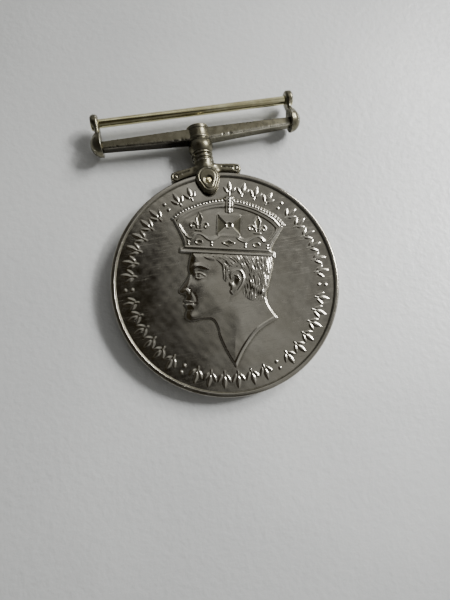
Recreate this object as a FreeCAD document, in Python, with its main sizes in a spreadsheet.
import FreeCAD, Part
import os
import types

import Sketcher

# A war service medal lying flat, face up: a 36 mm disc, riveted by one pin into a claw, and a
# straight suspender whose bar, end bosses and loose rod make the slot for a 32 mm ribbon.
# Lengths are millimetres. +Z points out of the face, +Y runs from the disc to the suspender and
# +X is to the right. Every sub-part is drawn about the centre of the disc, half way through it,
# and then moved together so that the origin is under the middle of the whole medal.

SIZES = [
    ("disc_radius", 18.0, "disc, outside"),
    ("disc_edge_half", 1.2, "half height of the disc's plain edge"),
    ("field_half", 1.05, "half thickness of the disc between the fields"),
    ("rim_width", 0.65, "width of the raised rim"),
    ("rim_round", 0.36, "radius of the rim's crest"),
    ("rim_half", 1.36, "half thickness over the two rim crests"),
    ("band_inner", 14.0, "inner radius of the raised wreath band on the reverse"),
    ("band_outer", 16.9, "outer radius of the wreath band"),
    ("band_height", 0.12, "height of the wreath band"),
    ("head_height", 0.25, "height of the crowned head's plain pad"),
    ("head_x", 0.87, "middle of the crown's band, across"),
    ("head_y", 4.18, "middle of the crown's band, up"),
    ("head_tilt", -12.5, "turn of the head in degrees"),
    ("pin_y", 16.5, "distance of the claw pin from the disc's centre"),
    ("pin_radius", 0.62, "claw pin"),
    ("pin_half", 2.26, "half length of the claw pin"),
    ("pin_dome", 0.12, "dome of the pin's ends"),
    ("running_gap", 0.04, "radial clearance of everything that turns"),
    ("toe_half", 2.3, "half thickness over the two claw toes"),
    ("toe_wide_radius", 1.95, "upper round of a toe"),
    ("toe_wide_y", 17.05, "centre of the toe's upper round"),
    ("toe_tip_radius", 1.35, "lower round of a toe"),
    ("toe_tip_y", 15.7, "centre of the toe's lower round"),
    ("toe_bevel", 0.4, "bevel around each toe"),
    ("edge_gap", 0.22, "gap between the disc's edge and the scroll arms"),
    ("face_gap", 0.05, "gap between a rim crest and a toe"),
    ("arm_reach", 5.75, "half span of the scroll arms"),
    ("arm_half", 1.15, "half thickness of the scroll arms"),
    ("arm_height", 1.15, "height of a scroll arm over the disc's edge"),
    ("arm_end_round", 0.95, "round end of a scroll arm"),
    ("arm_root_round", 2.2, "hollow between a scroll arm and the stem"),
    ("neck_radius", 1.8, "stem where it leaves the claw"),
    ("neck_y", 20.45, "joint between the claw and the stem"),
    ("waist_radius", 1.55, "grooves between the stem's rings"),
    ("ring_radius", 1.85, "the stem's two rings"),
    ("ring_low_y", 21.05, "middle of the lower ring"),
    ("ring_high_y", 21.85, "middle of the upper ring"),
    ("ring_half", 0.32, "half height of a ring"),
    ("ball_radius", 2.1, "ball of the stem"),
    ("ball_top_y", 24.0, "top of the ball, foot of the barrel"),
    ("barrel_radius", 1.97, "barrel around the bar"),
    ("cap_height", 0.7, "domed cap on the barrel"),
    ("cap_dome", 0.4, "dome of the cap"),
    ("bar_top_y", 26.25, "straight upper edge of the bar"),
    ("bar_mid_height", 2.1, "height of the bar at its middle"),
    ("bar_end_height", 1.35, "height of the bar at its ends"),
    ("bar_mid_half", 1.15, "half thickness of the bar at its middle"),
    ("bar_end_half", 0.83, "half thickness of the bar at its ends"),
    ("bar_corner", 0.1, "worn corners of the bar"),
    ("slot_half", 15.9, "half length of the ribbon slot"),
    ("boss_y", 25.95, "centre of the end bosses"),
    ("boss_radius", 2.0, "end boss"),
    ("boss_depth", 1.95, "reach of an end boss outwards"),
    ("boss_flange", 0.3, "straight edge of an end boss"),
    ("ear_width", 1.3, "thickness of an ear along the rod"),
    ("ear_radius", 1.55, "round head of an ear"),
    ("ear_neck", 0.95, "half width of an ear's neck"),
    ("ear_round", 0.35, "round edges of an ear"),
    ("ear_side_round", 2.5, "hollow sides of an ear"),
    ("ear_foot_rise", 1.2, "foot of an ear over the boss's centre"),
    ("ear_neck_rise", 0.3, "narrowest part of an ear over the boss's edge"),
    ("rod_y", 29.83, "ribbon rod, and the ears' holes"),
    ("rod_radius", 0.72, "ribbon rod"),
    ("rivet_radius", 0.98, "peened end of the rod"),
    ("rivet_depth", 0.28, "depth of the peened end"),
    ("rivet_dome", 0.1, "dome of the peened end outside the ear"),
]

# Shares of a length, for shapes that keep their look when the length changes.
ARM_CREST_SHARE = 0.93
ARM_ROOT_SHARE = 0.55
EAR_SPREAD_SHARE = 0.9
BALL_BULGE_SHARE = 0.85

# A plain bust facing left, about the middle of the crown's band. The bulge of an edge is the
# radius of its arc: positive outwards, negative inwards, and none for a straight edge.
HEAD_OUTLINE = [
    ("crown band, left end", -5.6, 0.0, 14.0),
    ("front of the face", -6.4, -5.2, 6.0),
    ("under the jaw", -3.6, -9.4, None),
    ("point of the bust", -1.2, -17.0, 16.0),
    ("back corner of the neck", 7.6, -9.6, -8.0),
    ("nape", 6.2, -5.4, 9.0),
    ("crown band, right end", 7.6, 0.0, None),
    ("right arch", 8.9, 5.3, 12.0),
    ("top of the crown", 0.0, 9.3, 12.0),
    ("left arch", -8.9, 5.3, None),
    ("crown brim, left end", -7.6, 0.0, None),
]


class Size:
    """A number with the sheet expression that gives it, so a drawing stays bound to the sheet."""

    def __init__(self, value, text):
        self.value = value
        self.text = text

    def __add__(self, other):
        other = sized(other)
        return Size(self.value + other.value, "(%s + %s)" % (self.text, other.text))

    def __sub__(self, other):
        other = sized(other)
        return Size(self.value - other.value, "(%s - %s)" % (self.text, other.text))

    def __mul__(self, other):
        other = sized(other)
        return Size(self.value * other.value, "(%s * %s)" % (self.text, other.text))

    def __truediv__(self, other):
        other = sized(other)
        return Size(self.value / other.value, "(%s / %s)" % (self.text, other.text))

    def __neg__(self):
        return self * -1


def sized(thing):
    """A plain number as a Size."""
    if isinstance(thing, Size):
        return thing
    return Size(float(thing), "(%r)" % float(thing))


def dome_radius(base, rise):
    """Radius of the ball whose cap has this base radius and this rise."""
    return (base * base + rise * rise) / (rise * 2)


def bind(item, path, size):
    """Bind one property of an object to the sheet."""
    item.setExpression(path, sized(size).text)


def make_sheet(document):
    """The spreadsheet of driving sizes, and the same sizes by name."""
    sheet = document.addObject("Spreadsheet::Sheet", "Sizes")
    named = types.SimpleNamespace()
    for row, (alias, value, note) in enumerate(SIZES, start=1):
        sheet.set("A%d" % row, note)
        sheet.set("B%d" % row, str(value))
        sheet.setAlias("B%d" % row, alias)
        setattr(named, alias, Size(value, "Sizes." + alias))
    document.recompute()
    return named


# ---- drawing ------------------------------------------------------------------------------


def new_body(document, label):
    """An empty body with its own label."""
    body = document.addObject("PartDesign::Body", label)
    body.Label = label
    return body


def new_sketch(body, name, role, place=(0, 0, 0), tilt=0):
    """A sketch on one of the body's origin planes; place and tilt are in the plane's own axes."""
    sketch = body.newObject("Sketcher::SketchObject", name)
    plane = [item for item in body.Origin.OriginFeatures if item.Role == role][0]
    sketch.AttachmentSupport = (plane, "")
    sketch.MapMode = "FlatFace"
    for axis, shift in zip("xyz", place):
        bind(sketch, "AttachmentOffset.Base." + axis, shift)
    bind(sketch, "AttachmentOffset.Rotation.Angle", tilt)
    return sketch


def fix_distance(sketch, kind, edge, end, size):
    """Hold one end of an edge at its distance from the sketch's origin along X or Y."""
    size = sized(size)
    if abs(size.value) < 1e-9:
        axis = -2 if kind == "DistanceX" else -1
        sketch.addConstraint(Sketcher.Constraint("PointOnObject", edge, end, axis))
        return
    name = "%s_%d_%d" % (kind, edge, end)
    if size.value < 0:
        size = -size
        constraint = Sketcher.Constraint(kind, edge, end, -1, 1, size.value)
    else:
        constraint = Sketcher.Constraint(kind, -1, 1, edge, end, size.value)
    sketch.renameConstraint(sketch.addConstraint(constraint), name)
    bind(sketch, "Constraints." + name, size)


def fix_radius(sketch, edge, radius):
    """Give an arc or circle its radius."""
    radius = sized(radius)
    name = "Radius_%d" % edge
    sketch.renameConstraint(sketch.addConstraint(Sketcher.Constraint("Radius", edge, radius.value)), name)
    bind(sketch, "Constraints." + name, radius)


def arc_edge(start, end, radius):
    """The short arc between two points; it bulges to the right of travel if radius is positive."""
    chord = end - start
    half = chord.Length / 2
    rise = abs(radius) - max(radius * radius - half * half, 0.0) ** 0.5
    right = FreeCAD.Vector(chord.y, -chord.x, 0).normalize()
    middle = (start + end) / 2 + right * (rise if radius > 0 else -rise)
    return Part.Arc(start, middle, end)


def end_at(sketch, edge, point):
    """Which end of an edge, 1 or 2, lies at a point."""
    return min((1, 2), key=lambda end: sketch.getPoint(edge, end).distanceToPoint(point))


def draw_loop(sketch, corners, arcs=None):
    """A closed anticlockwise outline; arcs gives the radius of each edge that is round."""
    arcs = arcs or {}
    points = [FreeCAD.Vector(sized(x).value, sized(y).value, 0) for x, y in corners]
    edges = []
    for index, start in enumerate(points):
        end = points[(index + 1) % len(points)]
        if index in arcs:
            shape = arc_edge(start, end, sized(arcs[index]).value)
        else:
            shape = Part.LineSegment(start, end)
        edges.append(sketch.addGeometry(shape))
    for index, (x, y) in enumerate(corners):
        before, after = edges[index - 1], edges[index]
        end_before = end_at(sketch, before, points[index])
        end_after = end_at(sketch, after, points[index])
        sketch.addConstraint(Sketcher.Constraint("Coincident", before, end_before, after, end_after))
        fix_distance(sketch, "DistanceX", after, end_after, x)
        fix_distance(sketch, "DistanceY", after, end_after, y)
    for index, radius in arcs.items():
        size = sized(radius)
        fix_radius(sketch, edges[index], size if size.value > 0 else -size)


def draw_circle(sketch, x, y, radius):
    """A circle held at its centre."""
    centre = FreeCAD.Vector(sized(x).value, sized(y).value, 0)
    shape = Part.Circle(centre, FreeCAD.Vector(0, 0, 1), sized(radius).value)
    edge = sketch.addGeometry(shape)
    fix_distance(sketch, "DistanceX", edge, 3, x)
    fix_distance(sketch, "DistanceY", edge, 3, y)
    fix_radius(sketch, edge, radius)


# ---- features -----------------------------------------------------------------------------


def pad(body, sketch, length, both_ways=True):
    """Raise a sketch, over the whole length about its plane or to one side."""
    feature = body.newObject("PartDesign::Pad", sketch.Name + "Pad")
    feature.Profile = sketch
    feature.SideType = "Symmetric" if both_ways else "One side"
    bind(feature, "Length", length)
    return feature


def cut(body, sketch, length):
    """Cut a sketch through the body, over the whole length about its plane."""
    body.Document.recompute()
    before = body.Shape.Volume
    feature = body.newObject("PartDesign::Pocket", sketch.Name + "Cut")
    feature.Profile = sketch
    feature.SideType = "Symmetric"
    bind(feature, "Length", length)
    body.Document.recompute()
    if body.Shape.Volume >= before:
        raise RuntimeError(feature.Name + " removed nothing")
    return feature


def turn(body, sketch, axis, removed=False):
    """Turn a sketch all the way round its own horizontal or vertical axis."""
    kind = "PartDesign::Groove" if removed else "PartDesign::Revolution"
    feature = body.newObject(kind, sketch.Name + "Turn")
    feature.Profile = sketch
    feature.ReferenceAxis = (sketch, [axis])
    feature.Angle = 360
    return feature


def bevel_ends(body, feature, size, half):
    """Bevel the two flat ends of a pad that runs from -half to +half along Z."""
    body.Document.recompute()
    names = []
    for number, edge in enumerate(feature.Shape.Edges, start=1):
        box = edge.BoundBox
        if abs(box.ZMax - box.ZMin) < 1e-6 and abs(abs(box.ZMax) - half.value) < 1e-6:
            names.append("Edge%d" % number)
    chamfer = body.newObject("PartDesign::Chamfer", feature.Name + "Bevel")
    chamfer.Base = (feature, names)
    bind(chamfer, "Size", size)
    return chamfer


def round_faces(body, feature, size, wanted):
    """Round the edges that a test picks out."""
    body.Document.recompute()
    names = []
    for number, edge in enumerate(feature.Shape.Edges, start=1):
        if wanted(edge.BoundBox):
            names.append("Edge%d" % number)
    fillet = body.newObject("PartDesign::Fillet", feature.Name + "Round")
    fillet.Base = (feature, names)
    bind(fillet, "Radius", size)
    return fillet


def move_to_frame(body, size):
    """Put the origin under the middle of the whole medal, on the level of its lowest point."""
    length_middle = (size.rod_y + size.ear_radius - size.disc_radius) / 2
    bind(body, "Placement.Base.y", -length_middle)
    bind(body, "Placement.Base.z", size.toe_half)


# ---- sub-parts ----------------------------------------------------------------------------


def medal_disc(document, size):
    """The struck disc: raised rims, a crowned head's pad, a wreath band behind, and the pin hole."""
    body = new_body(document, "medal_disc")
    rim_inner = size.disc_radius - size.rim_width
    band_half = size.field_half + size.band_height
    profile = new_sketch(body, "DiscProfile", "XZ_Plane")
    corners = [
        (0, -size.field_half),
        (size.band_inner, -size.field_half),
        (size.band_inner, -band_half),
        (size.band_outer, -band_half),
        (size.band_outer, -size.field_half),
        (rim_inner, -size.field_half),
        (size.disc_radius, -size.disc_edge_half),
        (size.disc_radius, size.disc_edge_half),
        (rim_inner, size.field_half),
        (0, size.field_half),
    ]
    draw_loop(profile, corners, {5: size.rim_round, 7: size.rim_round})
    turn(body, profile, "V_Axis")

    place = (size.head_x, size.head_y, size.field_half)
    head = new_sketch(body, "HeadOutline", "XY_Plane", place, size.head_tilt)
    draw_head(head)
    pad(body, head, size.head_height, both_ways=False)

    hole = new_sketch(body, "PinHole", "XY_Plane")
    draw_circle(hole, 0, size.pin_y, size.pin_radius + size.running_gap)
    cut(body, hole, size.toe_half * 2)
    return body


def draw_head(sketch):
    """A plain crowned bust facing left, drawn about the middle of the crown's band."""
    corners = [(x, y) for _, x, y, _ in HEAD_OUTLINE]
    arcs = {number: bulge for number, (_, _, _, bulge) in enumerate(HEAD_OUTLINE) if bulge}
    draw_loop(sketch, corners, arcs)


def claw(document, size):
    """Two riveted toes astride the disc's edge, the shoulders over it and two scroll arms."""
    body = new_body(document, "claw")
    toe = new_sketch(body, "ToeOutline", "XY_Plane")
    draw_toe(toe, size)
    toes = pad(body, toe, size.toe_half * 2)
    bevel_ends(body, toes, size.toe_bevel, size.toe_half)

    arms = new_sketch(body, "ArmOutline", "XY_Plane")
    draw_arms(arms, size)
    pad(body, arms, size.arm_half * 2)

    shoulder = new_sketch(body, "ShoulderProfile", "XY_Plane")
    foot_y = size.disc_radius + size.edge_gap
    corners = [
        (0, foot_y),
        (size.neck_radius, foot_y),
        (size.neck_radius, size.neck_y),
        (0, size.neck_y),
    ]
    draw_loop(shoulder, corners)
    turn(body, shoulder, "V_Axis")

    channel = new_sketch(body, "DiscChannel", "XY_Plane")
    draw_circle(channel, 0, 0, size.disc_radius + size.edge_gap)
    cut(body, channel, (size.rim_half + size.face_gap) * 2)

    hole = new_sketch(body, "RivetHole", "XY_Plane")
    draw_circle(hole, 0, size.pin_y, size.pin_radius)
    cut(body, hole, size.toe_half * 2.5)
    return body


def draw_toe(sketch, size):
    """An egg with its wide end up: two rounds joined by their outer tangents."""
    distance = size.toe_wide_y.value - size.toe_tip_y.value
    shrink = (size.toe_wide_radius.value - size.toe_tip_radius.value) / distance
    side = (1 - shrink * shrink) ** 0.5
    wide_x, wide_y = size.toe_wide_radius * side, size.toe_wide_y - size.toe_wide_radius * shrink
    tip_x, tip_y = size.toe_tip_radius * side, size.toe_tip_y - size.toe_tip_radius * shrink
    top = size.toe_wide_y + size.toe_wide_radius
    bottom = size.toe_tip_y - size.toe_tip_radius
    corners = [(wide_x, wide_y), (0, top), (-wide_x, wide_y), (-tip_x, tip_y), (0, bottom), (tip_x, tip_y)]
    wide, tip = size.toe_wide_radius, size.toe_tip_radius
    draw_loop(sketch, corners, {0: wide, 1: wide, 3: tip, 4: tip})


def draw_arms(sketch, size):
    """Both arms and the sloping shoulders, with the disc's edge as their hollow lower side."""
    hollow = size.disc_radius + size.edge_gap
    crest = hollow + size.arm_height
    reach = size.arm_reach
    low_y = (hollow.value ** 2 - reach.value ** 2) ** 0.5
    inner = size.arm_reach * ARM_CREST_SHARE
    high_y = (crest.value ** 2 - inner.value ** 2) ** 0.5
    root = size.arm_reach * ARM_ROOT_SHARE
    root_y = (crest.value ** 2 - root.value ** 2) ** 0.5
    corners = [
        (reach, low_y),
        (inner, high_y),
        (root, root_y),
        (size.neck_radius, size.neck_y),
        (-size.neck_radius, size.neck_y),
        (-root, root_y),
        (-inner, high_y),
        (-reach, low_y),
    ]
    end, bend = size.arm_end_round, -size.arm_root_round
    arcs = {0: end, 1: crest, 2: bend, 4: bend, 5: crest, 6: end, 7: -hollow}
    draw_loop(sketch, corners, arcs)


def claw_pin(document, size):
    """The rivet through both toes and the disc, slightly domed at each end."""
    body = new_body(document, "claw_pin")
    profile = new_sketch(body, "PinProfile", "XZ_Plane", (0, 0, -size.pin_y))
    straight = size.pin_half - size.pin_dome
    corners = [
        (0, -size.pin_half),
        (size.pin_radius, -straight),
        (size.pin_radius, straight),
        (0, size.pin_half),
    ]
    dome = dome_radius(size.pin_radius, size.pin_dome)
    draw_loop(profile, corners, {0: dome, 2: dome})
    turn(body, profile, "V_Axis")
    return body


def stem(document, size):
    """Neck, two rings, ball and barrel turned in one, with a notch across the barrel for the bar."""
    body = new_body(document, "stem")
    profile = new_sketch(body, "StemProfile", "XY_Plane")
    waist, ring, half = size.waist_radius, size.ring_radius, size.ring_half
    corners = [
        (0, size.neck_y),
        (size.neck_radius, size.neck_y),
        (waist, size.ring_low_y - half),
        (waist, size.ring_low_y + half),
        (waist, size.ring_high_y - half),
        (waist, size.ring_high_y + half),
        (size.barrel_radius, size.ball_top_y),
        (size.barrel_radius, size.bar_top_y),
        (0, size.bar_top_y),
    ]
    ring_round = ring - waist + size.running_gap
    draw_loop(profile, corners, {2: ring_round, 4: ring_round, 5: size.ball_radius * BALL_BULGE_SHARE})
    turn(body, profile, "V_Axis")

    notch = new_sketch(body, "BarNotch", "YZ_Plane")
    floor_y = size.bar_top_y - size.bar_mid_height
    above_y = size.bar_top_y + 1
    half_z = size.bar_mid_half
    draw_loop(notch, [(floor_y, -half_z), (above_y, -half_z), (above_y, half_z), (floor_y, half_z)])
    cut(body, notch, size.barrel_radius * 3)
    return body


def stem_cap(document, size):
    """The domed cap that closes the barrel over the bar."""
    body = new_body(document, "stem_cap")
    profile = new_sketch(body, "CapProfile", "XY_Plane")
    shoulder_y = size.bar_top_y + size.cap_height - size.cap_dome
    top_y = size.bar_top_y + size.cap_height
    corners = [
        (0, size.bar_top_y),
        (size.barrel_radius, size.bar_top_y),
        (size.barrel_radius, shoulder_y),
        (0, top_y),
    ]
    draw_loop(profile, corners, {2: dome_radius(size.barrel_radius, size.cap_dome)})
    turn(body, profile, "V_Axis")
    return body


def suspender_bar(document, size):
    """The straight bar: level above, tapering from the stem to both ends below and in thickness."""
    body = new_body(document, "suspender_bar")
    stations = [
        ("BarLeft", -size.slot_half, size.bar_end_height, size.bar_end_half),
        ("BarMiddle", sized(0), size.bar_mid_height, size.bar_mid_half),
        ("BarRight", size.slot_half, size.bar_end_height, size.bar_end_half),
    ]
    sections = []
    for name, along, height, half in stations:
        section = new_sketch(body, name, "YZ_Plane", (0, 0, along))
        low, high, corner = size.bar_top_y - height, size.bar_top_y, size.bar_corner
        points = [
            (low + corner, -half),
            (high - corner, -half),
            (high, corner - half),
            (high, half - corner),
            (high - corner, half),
            (low + corner, half),
            (low, half - corner),
            (low, corner - half),
        ]
        draw_loop(section, points)
        sections.append(section)
    loft = body.newObject("PartDesign::AdditiveLoft", "BarLoft")
    loft.Profile = sections[0]
    loft.Sections = sections[1:]
    loft.Ruled = True
    return body


def end_boss(document, size, label, side):
    """A round boss on one end of the bar, with the ear above it that holds the rod."""
    body = new_body(document, label)
    facing = 0 if side > 0 else 180
    place = (size.slot_half * side, size.boss_y, 0)
    boss = new_sketch(body, label + "Profile", "XY_Plane", place, facing)
    corners = [
        (0, 0),
        (size.boss_depth, 0),
        (size.boss_flange, size.boss_radius),
        (0, size.boss_radius),
    ]
    draw_loop(boss, corners, {1: dome_radius(size.boss_radius, size.boss_depth - size.boss_flange)})
    turn(body, boss, "H_Axis")

    middle = (size.slot_half + size.ear_width / 2) * side
    ear = new_sketch(body, label + "Ear", "YZ_Plane", (0, 0, middle))
    draw_ear(ear, size)
    lobe = pad(body, ear, size.ear_width)
    outer_x = (size.slot_half + size.ear_width) * side

    def on_outer_face(box):
        flat = abs(box.XMin - outer_x.value) < 1e-6 and abs(box.XMax - outer_x.value) < 1e-6
        return flat and box.YMax > size.rod_y.value

    round_faces(body, lobe, size.ear_round, on_outer_face)

    hole = new_sketch(body, label + "RodHole", "YZ_Plane", (0, 0, middle))
    draw_circle(hole, size.rod_y, 0, size.rod_radius + size.running_gap)
    cut(body, hole, size.ear_width * 2)

    sink = new_sketch(body, label + "Countersink", "XY_Plane", (outer_x, size.rod_y, 0), facing)
    depth = size.rivet_depth + size.running_gap
    mouth = size.rivet_radius + size.running_gap
    draw_loop(sink, [(-depth, 0), (0, 0), (0, mouth), (-depth, size.rod_radius)])
    before = body.Shape.Volume
    turn(body, sink, "H_Axis", removed=True)
    document.recompute()
    if body.Shape.Volume >= before:
        raise RuntimeError(sink.Name + " removed nothing")
    return body


def draw_ear(sketch, size):
    """A waisted stalk with a round head about the rod, in the plane across the rod."""
    foot_y = size.boss_y + size.ear_foot_rise
    neck_y = size.boss_y + size.boss_radius + size.ear_neck_rise
    head_y = size.rod_y - size.ear_radius * (1 - EAR_SPREAD_SHARE ** 2) ** 0.5
    head_z = size.ear_radius * EAR_SPREAD_SHARE
    corners = [
        (foot_y, -head_z),
        (neck_y, -size.ear_neck),
        (head_y, -head_z),
        (size.rod_y + size.ear_radius, 0),
        (head_y, head_z),
        (neck_y, size.ear_neck),
        (foot_y, head_z),
    ]
    head, side = size.ear_radius, -size.ear_side_round
    draw_loop(sketch, corners, {0: side, 1: side, 2: head, 3: head, 4: side, 5: side})


def ribbon_rod(document, size):
    """The loose round rod that carries the ribbon, its ends peened into the ears."""
    body = new_body(document, "ribbon_rod")
    profile = new_sketch(body, "RodProfile", "XY_Plane", (0, size.rod_y, 0))
    face = size.slot_half + size.ear_width
    neck = face - size.rivet_depth
    tip = face + size.rivet_dome
    corners = [
        (-tip, 0),
        (tip, 0),
        (face, size.rivet_radius),
        (neck, size.rod_radius),
        (-neck, size.rod_radius),
        (-face, size.rivet_radius),
    ]
    dome = dome_radius(size.rivet_radius, size.rivet_dome)
    draw_loop(profile, corners, {1: dome, 5: dome})
    turn(body, profile, "H_Axis")
    return body


# ---- the whole medal ----------------------------------------------------------------------


def check_objects(document, bodies):
    """Stop at the first object that failed to build, or whose shape is missing or broken."""
    for item in document.Objects:
        if "Invalid" in item.State or "Error" in item.State:
            raise RuntimeError("%s failed: %s" % (item.Label, item.State))
    for body in bodies:
        if body.Shape.isNull() or not body.Shape.isValid() or len(body.Shape.Solids) != 1:
            raise RuntimeError(body.Label + " has no sound single solid")


def main():
    """Build every sub-part, check it and write it to its own STEP file."""
    document = FreeCAD.newDocument("ServiceMedal")
    size = make_sheet(document)
    bodies = [
        medal_disc(document, size),
        claw(document, size),
        claw_pin(document, size),
        stem(document, size),
        stem_cap(document, size),
        suspender_bar(document, size),
        end_boss(document, size, "left_end_boss", -1),
        end_boss(document, size, "right_end_boss", 1),
        ribbon_rod(document, size),
    ]
    for body in bodies:
        move_to_frame(body, size)
    document.recompute()
    check_objects(document, bodies)
    os.makedirs("parts", exist_ok=True)
    for body in bodies:
        body.Shape.exportStep("parts/%s.step" % body.Label)


main()
